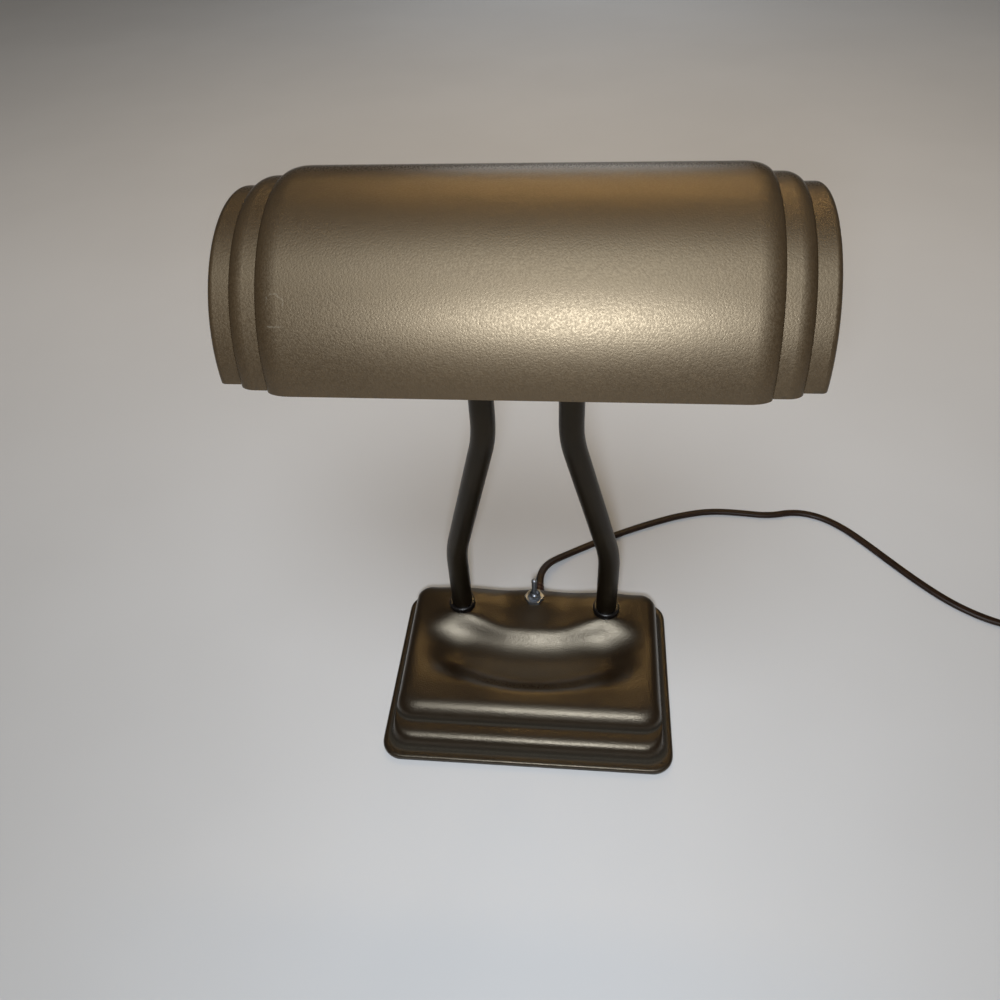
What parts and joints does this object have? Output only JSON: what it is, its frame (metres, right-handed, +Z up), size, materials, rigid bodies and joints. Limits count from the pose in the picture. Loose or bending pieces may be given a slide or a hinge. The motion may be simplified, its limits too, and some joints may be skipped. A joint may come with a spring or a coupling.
{
  "type": "desk lamp",
  "caption": "Desk lamp with a stepped half-cylinder shade that tilts on bent tube arms, over a weighted pressed base with a pen tray, a toggle switch and a flat cord with plug.",
  "frame": {"origin": "centre of the underside of the felt pad", "axes": "+Z up, +X to the lamp's right, +Y to its back, away from the pen tray's user"},
  "size_m": [0.7531, 0.2682, 0.3875],
  "materials": {
    "shade_paint": "bronze metallic paint with a fine pebbled grain",
    "base_paint": "bronze metallic paint, worn at the edges",
    "arm_paint": "dark bronze paint, smooth",
    "collar_black": "black lacquer",
    "zinc_steel": "zinc plated",
    "nickel": "nickel plated",
    "cast_iron": "raw casting",
    "felt": "dark felt",
    "elbow_metal": "dark bronze paint",
    "brass": "satin",
    "fibre": "red-brown vulcanised fibre",
    "bakelite": "dark brown phenolic",
    "bulb_glass": "frosted",
    "wire_cover": "cotton-grey sleeve",
    "cord_brown": "glossy brown two-conductor flat cord",
    "plug_brown": "moulded brown plastic",
    "tie_black": "plastic tie"
  },
  "bodies": {
    "stand": {"ballast_weight": "cast_iron", "base_post_1": "zinc_steel", "base_post_2": "zinc_steel", "base_post_3": "zinc_steel", "base_post_4": "zinc_steel", "base_shell": "base_paint", "bottom_plate": "zinc_steel", "bottom_screw_1": "zinc_steel", "bottom_screw_2": "zinc_steel", "bottom_screw_3": "zinc_steel", "bottom_screw_4": "zinc_steel", "cord_coil": "cord_brown", "cord_end": "cord_brown", "cord_grommet": "plug_brown", "cord_inner_end": "cord_brown", "cord_tie": "tie_black", "felt_pad": "felt", "left_arm_collar": "collar_black", "left_arm_elbow": "elbow_metal", "left_arm_locknut": "zinc_steel", "left_arm_tube": "arm_paint", "left_arm_washer": "zinc_steel", "left_bulb_base": "brass", "left_bulb_glass": "bulb_glass", "left_friction_washer": "fibre", "left_holder_body": "bakelite", "left_holder_cap": "brass", "left_lamp_wire": "wire_cover", "left_pivot_nipple": "brass", "left_pivot_nut": "zinc_steel", "left_screw_shell": "brass", "left_spring_washer": "zinc_steel", "lever_pin": "zinc_steel", "plug_blade_1": "brass", "plug_blade_2": "brass", "plug_body": "plug_brown", "power_cord": "cord_brown", "right_arm_collar": "collar_black", "right_arm_elbow": "elbow_metal", "right_arm_locknut": "zinc_steel", "right_arm_tube": "arm_paint", "right_arm_washer": "zinc_steel", "right_bulb_base": "brass", "right_bulb_glass": "bulb_glass", "right_friction_washer": "fibre", "right_holder_body": "bakelite", "right_holder_cap": "brass", "right_lamp_wire": "wire_cover", "right_pivot_nipple": "brass", "right_pivot_nut": "zinc_steel", "right_screw_shell": "brass", "right_spring_washer": "zinc_steel", "switch_body": "bakelite", "switch_bushing": "nickel", "switch_nut": "nickel"},
    "shade": {"shade_shell": "shade_paint", "shade_bracket": "zinc_steel"},
    "switch_lever": {"switch_lever": "nickel"}
  },
  "joints": [
    {"name": "shade_tilt", "type": "hinge", "parent": "stand", "child": "shade", "pos_m": [0, 0.031, 0.334], "axis": [1, 0, 0], "range_deg": [-55, 55]},
    {"name": "switch_toggle", "type": "hinge", "parent": "stand", "child": "switch_lever", "pos_m": [0, 0.052, 0.03796], "axis": [1, 0, 0], "range_deg": [0, 26]}
  ]
}
